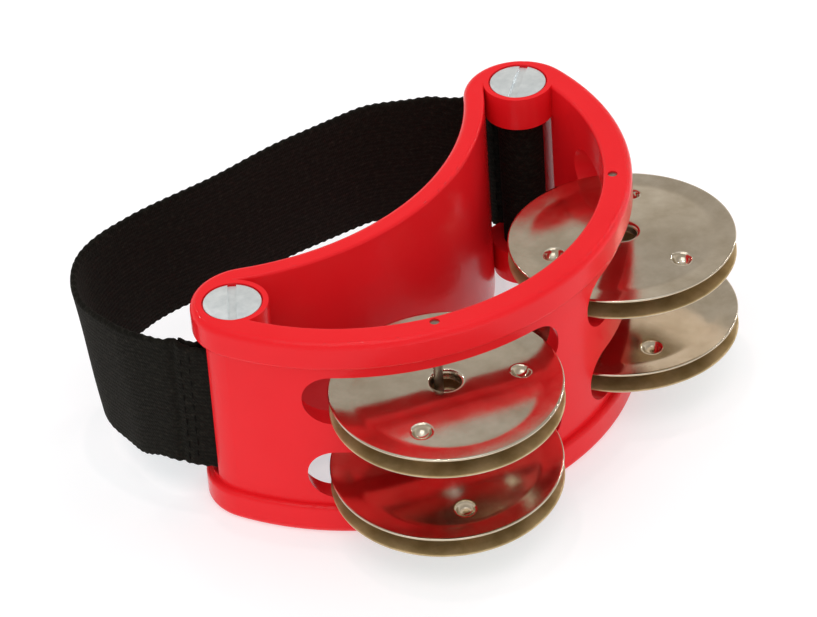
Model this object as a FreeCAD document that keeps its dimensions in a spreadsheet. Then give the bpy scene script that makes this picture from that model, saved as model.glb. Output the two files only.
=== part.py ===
import FreeCAD, Part
import math
import os

import Sketcher

# A foot tambourine: a hollow crescent moulding carries four pairs of jingles on two
# vertical pins, and an elastic strap looped round a post in each tip holds it to a foot.
#
# Frame: X runs from the left tip to the right tip, Y from the jingles to the heel, Z up.
# The origin is on the ground, under the middle of the wall that faces the foot.

Vector = FreeCAD.Vector
Placement = FreeCAD.Placement
Rotation = FreeCAD.Rotation

SIDES = {"left": -1, "right": 1}

doc = FreeCAD.newDocument("foot_tambourine")


# ------------------------------------------------------------------ driving dimensions

SIZES = [
    # crescent outline, seen from above
    ("front_radius", 60.8),
    ("front_centre_y", 16.35),
    ("concave_radius", 60.3),
    ("concave_centre_y", 62.65),
    ("tip_radius", 12.5),
    ("front_band", 6.4),
    ("concave_band", 4.7),
    ("hollow_tip_radius", 6.5),
    # crescent, seen from the side
    ("frame_height", 51.0),
    ("rim_height", 7.0),
    ("wall_inset", 1.5),
    ("rim_rounding", 1.6),
    ("rim_under_rounding", 1.0),
    ("hollow_rounding", 0.8),
    # strap posts and the bosses that hold them
    ("post_x", 50.0),
    ("post_y", 9.65),
    ("boss_radius", 7.8),
    ("boss_height", 8.0),
    ("loop_pocket_x", 49.65),
    ("loop_pocket_y", 10.4),
    ("loop_pocket_radius", 8.2),
    ("head_radius", 6.25),
    ("head_thickness", 1.3),
    ("head_crown", 0.4),
    ("head_recess", 1.1),
    ("screw_recess", 1.7),
    ("head_recess_radius", 6.6),
    ("driver_slot_width", 1.9),
    ("driver_slot_depth", 0.8),
    ("barrel_radius", 3.2),
    ("barrel_bore_radius", 1.85),
    ("barrel_bore_depth", 14.0),
    ("screw_radius", 1.8),
    ("screw_reach", 12.0),
    ("fit_clearance", 0.05),
    # jingle slots and pins
    ("left_pin_angle", 33.8),
    ("right_pin_angle", 35.5),
    ("pin_path_radius", 56.5),
    ("pin_radius", 1.05),
    ("pin_fit", 0.03),
    ("pin_recess", 0.4),
    ("pin_floor", 3.0),
    ("slot_angle", 34.1),
    ("slot_length", 57.6),
    ("slot_height", 12.4),
    ("slot_corner", 6.0),
    ("slot_middle", 25.0),
    ("slot_pitch", 20.0),
    ("slot_cut_depth", 24.0),
    # jingles
    ("jingle_radius", 25.0),
    ("jingle_sheet", 0.5),
    ("jingle_hole_radius", 3.2),
    ("jingle_collar_drop", 0.8),
    ("jingle_crown_radius", 5.0),
    ("jingle_crown_rise", 1.1),
    ("jingle_shoulder_radius", 11.5),
    ("jingle_shoulder_rise", 0.57),
    ("jingle_foot_radius", 20.5),
    ("jingle_foot_rise", 0.02),
    ("jingle_edge_rise", 0.08),
    ("dimple_circle_radius", 16.3),
    ("dimple_radius", 2.75),
    ("dimple_depth", 1.75),
    ("dimple_lift", 0.28),
    ("jingle_spacing", 4.3),
    ("jingle_rest_gap", 0.4),
    ("jingle_lean_heading", -49.0),
    # elastic strap
    ("strap_width", 32.0),
    ("strap_bottom", 9.5),
    ("strap_thickness", 1.6),
    ("strap_loop_gap", 0.35),
]

sheet = doc.addObject("Spreadsheet::Sheet", "sizes")
for row, (alias, value) in enumerate(SIZES, start=1):
    sheet.set(f"A{row}", alias)
    sheet.set(f"B{row}", str(value))
    sheet.setAlias(f"B{row}", alias)
doc.recompute()


def size(alias):
    """Value of a driving dimension, in millimetres or degrees."""
    return float(sheet.get(alias))


# ---------------------------------------------------------------------------- helpers

def origin_plane(body, role):
    return next(item for item in body.Origin.OriginFeatures if item.Role == role)


def new_body(name):
    body = doc.addObject("PartDesign::Body", name)
    body.Label = name
    return body


def new_sketch(body, name, role="XY_Plane", height=None):
    """A sketch on one of the body's own planes, lifted by an expression if one is given."""
    sketch = body.newObject("Sketcher::SketchObject", name)
    sketch.AttachmentSupport = [(origin_plane(body, role), "")]
    sketch.MapMode = "FlatFace"
    if height:
        sketch.setExpression("AttachmentOffset.Base.z", height)
    return sketch


def bind(sketch, constraint, expression):
    """Add a dimension to a sketch and tie it to the sheet."""
    index = sketch.addConstraint(constraint)
    sketch.setExpression(f"Constraints[{index}]", expression)


def add_circle(sketch, centre, radius, expressions):
    """A circle with its centre and radius tied to the sheet: x, y and radius."""
    x, y, r = expressions
    index = sketch.addGeometry(Part.Circle(Vector(centre[0], centre[1], 0), Vector(0, 0, 1), radius))
    bind(sketch, Sketcher.Constraint("Radius", index, radius), r)
    for kind, value, text in (("DistanceX", centre[0], x), ("DistanceY", centre[1], y)):
        if text is None:
            other = 2 if kind == "DistanceX" else 1
            on_axis = Sketcher.Constraint("PointOnObject", index, 3, -other)
            sketch.addConstraint(on_axis)
        else:
            bind(sketch, Sketcher.Constraint(kind, -1, 1, index, 3, value), text)


def add_polygon(sketch, points):
    """A closed chain of straight lines."""
    for start, end in zip(points, points[1:] + points[:1]):
        sketch.addGeometry(Part.LineSegment(Vector(*start, 0), Vector(*end, 0)))


def pad(body, name, sketch, length, reverse=False):
    feature = body.newObject("PartDesign::Pad", name)
    feature.Profile = sketch
    feature.setExpression("Length", length)
    feature.Reversed = reverse
    return feature


def pocket(body, name, sketch, length, reverse=False):
    """A cut that has to take material away, so the volume is compared."""
    doc.recompute()
    before = body.Shape.Volume
    feature = body.newObject("PartDesign::Pocket", name)
    feature.Profile = sketch
    feature.setExpression("Length", length)
    feature.Reversed = reverse
    doc.recompute()
    if not body.Shape.Volume < before - 0.01:
        raise RuntimeError(f"{name} cuts nothing")
    return feature


def revolve(body, name, sketch, kind="PartDesign::Revolution"):
    """A full turn about the sketch's own vertical axis."""
    feature = body.newObject(kind, name)
    feature.Profile = sketch
    feature.ReferenceAxis = (sketch, ["V_Axis"])
    feature.Angle = 360.0
    return feature


# ------------------------------------------------------------------------------ frame

def tip_centre(front_radius, concave_radius, tip_radius):
    """Centre of the tip arc, tangent inside the front arc and outside the concave arc."""
    front_y = size("front_centre_y")
    concave_y = size("concave_centre_y")
    to_front = front_radius - tip_radius
    to_concave = concave_radius + tip_radius
    y = (to_front**2 - to_concave**2 + concave_y**2 - front_y**2) / (2 * (concave_y - front_y))
    return math.sqrt(to_front**2 - (y - front_y)**2), y


def add_crescent(sketch, front, concave, tip):
    """Closed crescent of four tangent arcs: each size is a (value, expression) pair."""
    front_y = size("front_centre_y")
    concave_y = size("concave_centre_y")
    x, y = tip_centre(front[0], concave[0], tip[0])
    to_front = math.atan2(y - front_y, x)
    to_concave = math.atan2(concave_y - y, -x)
    front_arc = (Vector(0, front_y, 0), front[0], math.pi - to_front, 2 * math.pi + to_front)
    right_tip = (Vector(x, y, 0), tip[0], to_front, to_concave)
    concave_arc = (Vector(0, concave_y, 0), concave[0], -to_concave, to_concave - math.pi)
    left_tip = (Vector(-x, y, 0), tip[0], math.pi - to_concave, math.pi - to_front)
    arcs = []
    for centre, radius, first, last in (front_arc, right_tip, concave_arc, left_tip):
        circle = Part.Circle(centre, Vector(0, 0, 1), radius)
        arcs.append(sketch.addGeometry(Part.ArcOfCircle(circle, first, last)))
    front_id, right_id, concave_id, left_id = arcs
    start, end, centre = 1, 2, 3
    sketch.addConstraint(Sketcher.Constraint("Tangent", front_id, end, right_id, start))
    sketch.addConstraint(Sketcher.Constraint("Tangent", right_id, end, concave_id, end))
    sketch.addConstraint(Sketcher.Constraint("Tangent", concave_id, start, left_id, start))
    sketch.addConstraint(Sketcher.Constraint("Tangent", left_id, end, front_id, start))
    for index in (front_id, concave_id):
        sketch.addConstraint(Sketcher.Constraint("PointOnObject", index, centre, -2))
    for index, height in ((front_id, "front_centre_y"), (concave_id, "concave_centre_y")):
        drop = Sketcher.Constraint("DistanceY", -1, 1, index, centre, size(height))
        bind(sketch, drop, f"sizes.{height}")
    for index, (value, expression) in ((front_id, front), (concave_id, concave), (right_id, tip)):
        bind(sketch, Sketcher.Constraint("Radius", index, value), expression)
    sketch.addConstraint(Sketcher.Constraint("Equal", right_id, left_id))


def outer_crescent(sketch):
    add_crescent(
        sketch,
        (size("front_radius"), "sizes.front_radius"),
        (size("concave_radius"), "sizes.concave_radius"),
        (size("tip_radius"), "sizes.tip_radius"),
    )


def wall_crescent(sketch):
    inset = size("wall_inset")
    add_crescent(
        sketch,
        (size("front_radius") - inset, "sizes.front_radius - sizes.wall_inset"),
        (size("concave_radius") + inset, "sizes.concave_radius + sizes.wall_inset"),
        (size("tip_radius") - inset, "sizes.tip_radius - sizes.wall_inset"),
    )


def hollow_crescent(sketch):
    add_crescent(
        sketch,
        (size("front_radius") - size("front_band"), "sizes.front_radius - sizes.front_band"),
        (size("concave_radius") + size("concave_band"), "sizes.concave_radius + sizes.concave_band"),
        (size("hollow_tip_radius"), "sizes.hollow_tip_radius"),
    )


def add_tip_circles(sketch, place, alias, add=""):
    """One circle in each tip, centred on the place whose X and Y are in the sheet."""
    for sign in SIDES.values():
        x = "" if sign > 0 else "-"
        radius = size(alias) + (size(add) if add else 0)
        text = f"sizes.{alias}" + (f" + sizes.{add}" if add else "")
        centre = (sign * size(f"{place}_x"), size(f"{place}_y"))
        add_circle(sketch, centre, radius, (f"{x}sizes.{place}_x", f"sizes.{place}_y", text))


def pin_place(side):
    """Plan position of a pin, in the middle of the front wall's thickness."""
    angle = math.radians(size(f"{side}_pin_angle"))
    reach = size("pin_path_radius")
    across = SIDES[side] * reach * math.sin(angle)
    return across, size("front_centre_y") - reach * math.cos(angle)


def add_pin_circles(sketch):
    radius = size("pin_radius") + size("pin_fit")
    for side, sign in SIDES.items():
        angle = f"sizes.{side}_pin_angle * 1 deg"
        x = ("" if sign > 0 else "-") + f"sizes.pin_path_radius * sin({angle})"
        y = f"sizes.front_centre_y - sizes.pin_path_radius * cos({angle})"
        add_circle(sketch, pin_place(side), radius, (x, y, "sizes.pin_radius + sizes.pin_fit"))


def add_slot(sketch, level, level_text):
    """A slot outline with rounded corners, centred on X = 0 at the given height."""
    corner = size("slot_corner")
    half_x = size("slot_length") / 2 - corner
    half_y = size("slot_height") / 2 - corner
    centres = [(half_x, half_y), (-half_x, half_y), (-half_x, -half_y), (half_x, -half_y)]
    arcs = []
    for quarter, (x, y) in enumerate(centres):
        circle = Part.Circle(Vector(x, level + y, 0), Vector(0, 0, 1), corner)
        first = quarter * math.pi / 2
        arcs.append(sketch.addGeometry(Part.ArcOfCircle(circle, first, first + math.pi / 2)))
    start, end, centre = 1, 2, 3
    for quarter, arc in enumerate(arcs):
        following = arcs[(quarter + 1) % 4]
        ends = []
        for index, place in ((arc, end), (following, start)):
            ends.append(sketch.getPoint(index, place))
        line = sketch.addGeometry(Part.LineSegment(*ends))
        sketch.addConstraint(Sketcher.Constraint("Tangent", arc, end, line, start))
        sketch.addConstraint(Sketcher.Constraint("Tangent", line, end, following, start))
        sketch.addConstraint(Sketcher.Constraint("Vertical" if quarter % 2 else "Horizontal", line))
        if quarter:
            sketch.addConstraint(Sketcher.Constraint("Equal", arcs[0], arc))
    bind(sketch, Sketcher.Constraint("Radius", arcs[0], corner), "sizes.slot_corner")
    half_length = "sizes.slot_length / 2 - sizes.slot_corner"
    half_height = "sizes.slot_height / 2 - sizes.slot_corner"
    distances = (
        ("DistanceX", -1, 1, arcs[0], half_x, half_length),
        ("DistanceX", arcs[1], centre, arcs[0], 2 * half_x, f"2 * ({half_length})"),
        ("DistanceY", -1, 1, arcs[0], level + half_y, f"{level_text} + {half_height}"),
        ("DistanceY", arcs[3], centre, arcs[0], 2 * half_y, f"2 * ({half_height})"),
    )
    for kind, item, place, other, value, text in distances:
        bind(sketch, Sketcher.Constraint(kind, item, place, other, centre, value), text)


def cut_slots(body, side, sign):
    """Two slots, one above the other, cut straight through the front wall on one side."""
    sketch = new_sketch(body, f"{side}_slots_outline", "XZ_Plane")
    turn = sign * size("slot_angle")
    angle = math.radians(turn)
    reach = size("front_radius") - size("slot_cut_depth")
    start = Vector(reach * math.sin(angle), size("front_centre_y") - reach * math.cos(angle), 0)
    # In the sketch's own axes Y is up and Z points at the front, so a turn about its Y axis
    # swings the cut round to its side of the front.
    sketch.AttachmentOffset = Placement(
        Vector(start.x, 0, -start.y), Rotation(Vector(0, 1, 0), turn))
    for level, text in ((-1, "-"), (1, "+")):
        height = size("slot_middle") + level * size("slot_pitch") / 2
        add_slot(sketch, height, f"sizes.slot_middle {text} sizes.slot_pitch / 2")
    pocket(body, f"{side}_slots", sketch, "sizes.slot_cut_depth", reverse=True)


def edges_at(shape, height, test):
    """Names of the edges that lie wholly at one height and pass a test on their middle."""
    names = []
    for number, edge in enumerate(shape.Edges, start=1):
        box = edge.BoundBox
        if abs(box.ZMin - height) > 1e-4 or abs(box.ZMax - height) > 1e-4:
            continue
        middle = edge.valueAt((edge.FirstParameter + edge.LastParameter) / 2)
        if test(middle):
            names.append(f"Edge{number}")
    return names


def on_crescent(point, front, concave, tip):
    """True if a point is on the crescent of these three radii."""
    x, y = tip_centre(front, concave, tip)
    gaps = (
        math.hypot(point.x, point.y - size("front_centre_y")) - front,
        math.hypot(point.x, point.y - size("concave_centre_y")) - concave,
        math.hypot(abs(point.x) - x, point.y - y) - tip,
    )
    return min(abs(gap) for gap in gaps) < 0.01


def round_edges(body, name, levels, radii, rounding):
    """Fillet the edges that follow one crescent at the given heights."""
    doc.recompute()
    base = body.Tip
    names = []
    for level in levels:
        names += edges_at(base.Shape, level, lambda point: on_crescent(point, *radii))
    fillet = body.newObject("PartDesign::Fillet", name)
    fillet.Base = (base, names)
    fillet.setExpression("Radius", rounding)
    doc.recompute()
    return fillet


def make_frame():
    body = new_body("frame")
    outline = new_sketch(body, "rim_outline")
    outer_crescent(outline)
    pad(body, "full_height", outline, "sizes.frame_height")

    relief = new_sketch(body, "wall_relief_outline", height="sizes.rim_height")
    outer_crescent(relief)
    wall_crescent(relief)
    pocket(body, "wall_relief", relief, "sizes.frame_height - 2 * sizes.rim_height", reverse=True)

    hollow = new_sketch(body, "hollow_outline")
    hollow_crescent(hollow)
    pocket(body, "hollow", hollow, "sizes.frame_height", reverse=True)

    height = size("frame_height")
    rim = (size("front_radius"), size("concave_radius"), size("tip_radius"))
    inside = (rim[0] - size("front_band"), rim[1] + size("concave_band"), size("hollow_tip_radius"))
    round_edges(body, "rim_rounding", (0, height), rim, "sizes.rim_rounding")
    round_edges(body, "hollow_rounding", (0, height), inside, "sizes.hollow_rounding")
    rim_faces = (size("rim_height"), height - size("rim_height"))
    round_edges(body, "rim_under_rounding", rim_faces, rim, "sizes.rim_under_rounding")

    low_boss = new_sketch(body, "low_boss_outline")
    add_tip_circles(low_boss, "post", "boss_radius")
    pad(body, "low_bosses", low_boss, "sizes.boss_height")
    top_boss = new_sketch(body, "top_boss_outline", height="sizes.frame_height - sizes.boss_height")
    add_tip_circles(top_boss, "post", "boss_radius")
    pad(body, "top_bosses", top_boss, "sizes.boss_height")

    loops = new_sketch(body, "loop_pocket_outline", height="sizes.boss_height")
    add_tip_circles(loops, "loop_pocket", "loop_pocket_radius")
    pocket(body, "loop_pockets", loops, "sizes.frame_height - 2 * sizes.boss_height", reverse=True)

    bores = new_sketch(body, "post_bore_outline")
    add_tip_circles(bores, "post", "barrel_radius", "fit_clearance")
    pocket(body, "post_bores", bores, "sizes.frame_height", reverse=True)
    low_recess = new_sketch(body, "low_recess_outline")
    add_tip_circles(low_recess, "post", "head_recess_radius")
    pocket(body, "low_recesses", low_recess, "sizes.screw_recess", reverse=True)
    top_recess = new_sketch(body, "top_recess_outline", height="sizes.frame_height")
    add_tip_circles(top_recess, "post", "head_recess_radius")
    pocket(body, "top_recesses", top_recess, "sizes.head_recess")

    pin_bores = new_sketch(body, "pin_bore_outline", height="sizes.pin_floor")
    add_pin_circles(pin_bores)
    pocket(body, "pin_bores", pin_bores, "sizes.frame_height - sizes.pin_floor", reverse=True)
    for side, sign in SIDES.items():
        cut_slots(body, side, sign)
    return body


# ------------------------------------------------------------------------- pins, posts

def make_pin(side):
    """Steel pin, driven in from the top, that both rows of jingles hang on."""
    body = new_body(f"{side}_jingle_pin")
    outline = new_sketch(body, f"{side}_pin_outline", height="sizes.pin_floor")
    add_circle(outline, (0, 0), size("pin_radius"), (None, None, "sizes.pin_radius"))
    pad(body, f"{side}_pin_length", outline,
        "sizes.frame_height - sizes.pin_floor - sizes.pin_recess")
    x, y = pin_place(side)
    body.Placement = Placement(Vector(x, y, 0), Rotation())
    return body


def add_head(body, prefix):
    """Domed round head, underside on the body's own XY plane."""
    rim = size("head_radius")
    flat = size("head_thickness") - size("head_crown")
    crown = size("head_thickness")
    outline = new_sketch(body, f"{prefix}_head_outline", "XZ_Plane")
    lines = ((0, 0, rim, 0), (rim, 0, rim, flat), (0, crown, 0, 0))
    base, edge, axis = (
        outline.addGeometry(Part.LineSegment(Vector(a, b, 0), Vector(c, d, 0)))
        for a, b, c, d in lines
    )
    middle = Vector(rim * 0.55, crown - size("head_crown") * 0.25, 0)
    dome = outline.addGeometry(Part.Arc(Vector(rim, flat, 0), middle, Vector(0, crown, 0)))
    chain = ((base, 2, edge, 1), (edge, 2, dome, 1), (dome, 2, axis, 1), (axis, 2, base, 1))
    for first, first_end, second, second_end in chain:
        outline.addConstraint(
            Sketcher.Constraint("Coincident", first, first_end, second, second_end))
    outline.addConstraint(Sketcher.Constraint("Coincident", base, 1, -1, 1))
    outline.addConstraint(Sketcher.Constraint("Horizontal", base))
    outline.addConstraint(Sketcher.Constraint("Vertical", edge))
    outline.addConstraint(Sketcher.Constraint("PointOnObject", dome, 3, -2))
    outline.addConstraint(Sketcher.Constraint("Vertical", axis))
    bind(outline, Sketcher.Constraint("DistanceX", base, 1, base, 2, rim), "sizes.head_radius")
    bind(outline, Sketcher.Constraint("DistanceY", edge, 1, edge, 2, flat),
         "sizes.head_thickness - sizes.head_crown")
    bind(outline, Sketcher.Constraint("DistanceY", base, 1, dome, 2, crown),
         "sizes.head_thickness")
    return revolve(body, f"{prefix}_head", outline)


def cut_driver_slot(body, prefix):
    """Screwdriver slot right across the head."""
    outline = new_sketch(body, f"{prefix}_driver_slot_outline", height="sizes.head_thickness")
    reach = size("head_radius") + 1
    half = size("driver_slot_width") / 2
    add_polygon(outline, [(-reach, -half), (reach, -half), (reach, half), (-reach, half)])
    pocket(body, f"{prefix}_driver_slot", outline, "sizes.driver_slot_depth")


def make_post(side, sign, slot_turn):
    """Binding post: slotted head on top and a long hollow barrel that the strap goes round."""
    name = f"{side}_strap_post"
    body = new_body(name)
    add_head(body, name)
    barrel = new_sketch(body, f"{name}_barrel_outline")
    add_circle(barrel, (0, 0), size("barrel_radius"), (None, None, "sizes.barrel_radius"))
    length = "sizes.frame_height - sizes.head_recess - sizes.screw_recess - sizes.fit_clearance"
    pad(body, f"{name}_barrel", barrel, length, reverse=True)
    bore = new_sketch(body, f"{name}_bore_outline", height=f"-({length})")
    add_circle(bore, (0, 0), size("barrel_bore_radius"), (None, None, "sizes.barrel_bore_radius"))
    pocket(body, f"{name}_bore", bore, "sizes.barrel_bore_depth", reverse=True)
    cut_driver_slot(body, name)
    seat = size("frame_height") - size("head_recess")
    place = Vector(sign * size("post_x"), size("post_y"), seat)
    body.Placement = Placement(place, Rotation(slot_turn, 0, 0))
    return body


def make_post_screw(side, sign, slot_turn):
    """Screw that closes the post from below."""
    name = f"{side}_post_screw"
    body = new_body(name)
    add_head(body, name)
    shank = new_sketch(body, f"{name}_shank_outline")
    add_circle(shank, (0, 0), size("screw_radius"), (None, None, "sizes.screw_radius"))
    pad(body, f"{name}_shank", shank, "sizes.screw_reach", reverse=True)
    cut_driver_slot(body, name)
    upside_down = Rotation(Vector(1, 0, 0), 180).multiply(Rotation(slot_turn, 0, 0))
    place = Vector(sign * size("post_x"), size("post_y"), size("screw_recess"))
    body.Placement = Placement(place, upside_down)
    return body


# ---------------------------------------------------------------------------- jingles

DIMPLES = 3
# Latitude on the dimple's ball, in degrees, below which its tip is flat.
DIMPLE_FLAT_FROM = 75
# How each pair lies on its pin: the turn of its dimples in degrees, the millimetres in X and
# Y from the pin to its centre, and the degrees it leans down towards the front left.
JINGLE_REST = {
    "left_upper": (20, 0.0, -2.0, 1.5),
    "left_lower": (52, -0.98, -1.62, 3.5),
    "right_upper": (90, -0.25, -2.0, -1.7),
    "right_lower": (58, -0.25, -2.0, -1.5),
}


def jingle_profile():
    """Middle line of the pressed sheet: collar, crown, shoulder, foot and edge as (r, z)."""
    collar = size("jingle_hole_radius") + size("jingle_sheet") / 2
    return [
        (collar, -size("jingle_collar_drop")),
        (collar, size("jingle_crown_rise") * 0.4),
        (size("jingle_crown_radius"), size("jingle_crown_rise")),
        (size("jingle_shoulder_radius"), size("jingle_shoulder_rise")),
        (size("jingle_foot_radius"), size("jingle_foot_rise")),
        (size("jingle_radius"), size("jingle_edge_rise")),
    ]


def press_dimple(body, name, around):
    """Round hollow pressed through the sheet: a cap added below it, then scooped out."""
    half = size("jingle_sheet") / 2
    depth = size("dimple_depth")
    outer_radius = (size("dimple_radius")**2 + depth**2) / (2 * depth)
    centre_z = size("dimple_lift") + outer_radius - depth - half
    spot = Rotation(Vector(0, 0, 1), around).multVec(Vector(size("dimple_circle_radius"), 0, 0))
    # Only the part of the ball below the sheet's middle is added.
    top_angle = -math.degrees(math.asin((centre_z - size("dimple_lift")) / outer_radius))
    steps = (("Additive", outer_radius, top_angle), ("Subtractive", outer_radius - 2 * half, 90))
    for kind, radius, highest in steps:
        ball = body.newObject(f"PartDesign::{kind}Sphere", f"{name}_{kind.lower()}")
        ball.AttachmentSupport = [(origin_plane(body, "XY_Plane"), "")]
        ball.MapMode = "FlatFace"
        ball.AttachmentOffset = Placement(spot + Vector(0, 0, centre_z), Rotation())
        ball.Radius = radius
        ball.Angle1 = -DIMPLE_FLAT_FROM
        ball.Angle2 = highest
        doc.recompute()


def make_jingle(name, place, turn, lean, flipped):
    """Domed disc with a turned-in collar and three dimples that face its partner."""
    body = new_body(name)
    half = size("jingle_sheet") / 2
    line = jingle_profile()
    collar, bend = line[0], line[1]
    upper = [(collar[0] - half, collar[1]), (bend[0] - half, bend[1])]
    upper += [(r, z + half) for r, z in line[2:]]
    lower = [(collar[0] + half, collar[1]), (bend[0] + half, bend[1] - half)]
    lower += [(r, z - half) for r, z in line[2:]]
    disc = new_sketch(body, f"{name}_disc_outline", "XZ_Plane")
    add_polygon(disc, upper + lower[::-1])
    revolve(body, f"{name}_disc", disc)

    for step in range(DIMPLES):
        press_dimple(body, f"{name}_dimple_{step + 1}", 360 / DIMPLES * (step + 0.5))
    facing = Rotation(Vector(1, 0, 0), 180) if flipped else Rotation()
    spin = Rotation(Vector(0, 0, 1), turn)
    heading = math.radians(size("jingle_lean_heading"))
    tip_down = Rotation(Vector(math.cos(heading), math.sin(heading), 0), lean)
    body.Placement = Placement(place, tip_down.multiply(spin).multiply(facing))
    return body


def make_jingles():
    """Two jingles face to face in each slot, dimples meeting, four pairs in all."""
    outer_face = size("jingle_crown_rise") + size("jingle_sheet") / 2
    bodies = []
    for side in SIDES:
        pin_x, pin_y = pin_place(side)
        for row, level in (("lower", -1), ("upper", 1)):
            turn, slack_x, slack_y, lean = JINGLE_REST[f"{side}_{row}"]
            floor = size("slot_middle") + (level * size("slot_pitch") - size("slot_height")) / 2
            low = Vector(pin_x + slack_x, pin_y + slack_y,
                         floor + size("jingle_rest_gap") + outer_face)
            high = low + Vector(0, 0, size("jingle_spacing"))
            name = f"{side}_{row}_jingle"
            bodies.append(make_jingle(f"{name}_bottom", low, turn, lean, True))
            bodies.append(make_jingle(f"{name}_top", high, turn, lean, False))
    return bodies


# ------------------------------------------------------------------------------ strap

# Middle line of the slack strap in plan, from the left post to the right post, measured
# from the point midway between the posts.
STRAP_ROUTE = [
    (-58.0, 4.5), (-59.9, 9.3), (-61.2, 14.0), (-62.2, 24.0), (-58.6, 38.0), (-47.0, 47.0),
    (-31.0, 46.6), (-13.0, 40.5), (11.0, 34.0), (28.5, 29.4), (41.0, 22.2), (49.0, 15.0),
    (52.0, 11.0), (54.0, 7.0),
]
STRAP_TURN_BACK = 3


def smooth_ribbon(points, start_side, end_side):
    """Face of a ribbon along a smooth line, between two offsets from that line."""
    spine = Part.BSplineCurve()
    spine.interpolate([Vector(x, y, 0) for x, y in points])
    sides = []
    for offset in (start_side, end_side):
        side = []
        for x, y in points:
            along = spine.tangent(spine.parameter(Vector(x, y, 0)))[0]
            side.append(Vector(x - along.y * offset, y + along.x * offset, 0))
        curve = Part.BSplineCurve()
        curve.interpolate(side)
        sides.append(curve)
    first, second = sides
    ends = [
        Part.makeLine(first.EndPoint, second.EndPoint),
        Part.makeLine(second.StartPoint, first.StartPoint),
    ]
    return Part.Face(Part.Wire([first.toShape(), ends[0], second.toShape(), ends[1]]))


def make_strap():
    """Elastic strap: one ply across the heel, its ends folded round the posts and sewn."""
    ply = size("strap_thickness")
    inner = size("barrel_radius") + size("strap_loop_gap")
    up = Vector(0, 0, size("strap_width"))
    solids = [smooth_ribbon(STRAP_ROUTE, -ply / 2, ply / 2).extrude(up)]
    # Each folded end lies on the inside of the strap, towards the foot.
    for fold in (STRAP_ROUTE[:STRAP_TURN_BACK], STRAP_ROUTE[-STRAP_TURN_BACK:]):
        solids.append(smooth_ribbon(fold, -1.5 * ply, 0).extrude(up))
    bores = []
    for sign, link in ((-1, STRAP_ROUTE[0]), (1, STRAP_ROUTE[-1])):
        post = Vector(sign * size("post_x"), 0, 0)
        solids.append(Part.makeCylinder(inner + ply, size("strap_width"), post))
        reach = Vector(link[0], link[1], 0).sub(post)
        bridge = Part.makeBox(reach.Length + ply, 2 * ply, size("strap_width"), Vector(0, -ply, 0))
        bridge.Placement = Placement(post, Rotation(Vector(1, 0, 0), reach))
        solids.append(bridge)
        bores.append(Part.makeCylinder(inner, size("strap_width"), post))
    shape = solids[0].multiFuse(solids[1:]).cut(Part.makeCompound(bores)).removeSplitter()
    strap = doc.addObject("Part::Feature", "elastic_strap")
    strap.Label = "elastic_strap"
    strap.Shape = Part.Solid(shape.Solids[0])
    strap.Placement = Placement(Vector(0, size("post_y"), size("strap_bottom")), Rotation())
    return strap


# ----------------------------------------------------------------------------- output

def build():
    parts = [make_frame()]
    slot_turns = {"left": (41, 20), "right": (25, 60)}
    for side, sign in SIDES.items():
        parts.append(make_pin(side))
        parts.append(make_post(side, sign, slot_turns[side][0]))
        parts.append(make_post_screw(side, sign, slot_turns[side][1]))
    parts += make_jingles()
    parts.append(make_strap())
    return parts


def export(parts):
    doc.recompute()
    for item in doc.Objects:
        if "Invalid" in item.State or "Error" in item.State:
            raise RuntimeError(f"{item.Name} failed: {item.State}")
    os.makedirs("parts", exist_ok=True)
    for item in parts:
        if item.Shape.isNull() or not item.Shape.isValid() or not item.Shape.Solids:
            raise RuntimeError(f"{item.Label} has no valid shape")
        item.Shape.exportStep(f"parts/{item.Label}.step")
        print(item.Label, len(item.Shape.Solids), round(item.Shape.Volume, 1))


export(build())
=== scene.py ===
import math

import bpy
from mathutils import Matrix, Vector


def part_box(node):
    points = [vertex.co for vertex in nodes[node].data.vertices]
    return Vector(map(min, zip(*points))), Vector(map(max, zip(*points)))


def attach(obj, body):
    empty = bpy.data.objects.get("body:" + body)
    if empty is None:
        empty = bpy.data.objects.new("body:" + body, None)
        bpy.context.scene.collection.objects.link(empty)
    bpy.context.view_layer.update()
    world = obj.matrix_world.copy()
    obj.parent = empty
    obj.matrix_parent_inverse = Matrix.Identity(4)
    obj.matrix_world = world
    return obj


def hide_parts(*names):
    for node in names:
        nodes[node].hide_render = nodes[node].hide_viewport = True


# Looks of the foot tambourine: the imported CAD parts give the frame, the pins, the posts and
# their screws. The jingles and the elastic strap are rebuilt here in finer detail.
# Lengths are millimetres, and MM turns them into Blender's metres.

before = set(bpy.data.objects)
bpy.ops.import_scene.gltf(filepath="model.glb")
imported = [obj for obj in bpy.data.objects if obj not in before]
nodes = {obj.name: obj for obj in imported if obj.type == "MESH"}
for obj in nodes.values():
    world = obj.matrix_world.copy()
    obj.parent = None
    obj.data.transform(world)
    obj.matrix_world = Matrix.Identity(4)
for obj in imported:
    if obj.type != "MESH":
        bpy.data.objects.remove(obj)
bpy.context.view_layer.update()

MM = 0.001
SIDES = ("left", "right")


# ---------------------------------------------------------------------------- node helpers
# Each helper's first argument owns the node tree: a material or the world.

# Sockets of a Mix node in colour mode, which share their names with its other modes' sockets.
MIX_FIRST, MIX_SECOND, MIX_RESULT = 6, 7, 2


def new_material(name, **inputs):
    """A material with a Principled shader whose plain inputs are given by name."""
    material = bpy.data.materials.new(name)
    material.use_nodes = True
    for key, value in inputs.items():
        shader_input(material, key.replace("_", " ")).default_value = value
    return material


def shader_input(material, name):
    return material.node_tree.nodes["Principled BSDF"].inputs[name]


def add_node(owner, kind, **settings):
    node = owner.node_tree.nodes.new(kind)
    for key, value in settings.items():
        if key in node.inputs:
            node.inputs[key].default_value = value
        else:
            setattr(node, key, value)
    return node


def link(owner, source, target):
    owner.node_tree.links.new(source, target)


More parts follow.
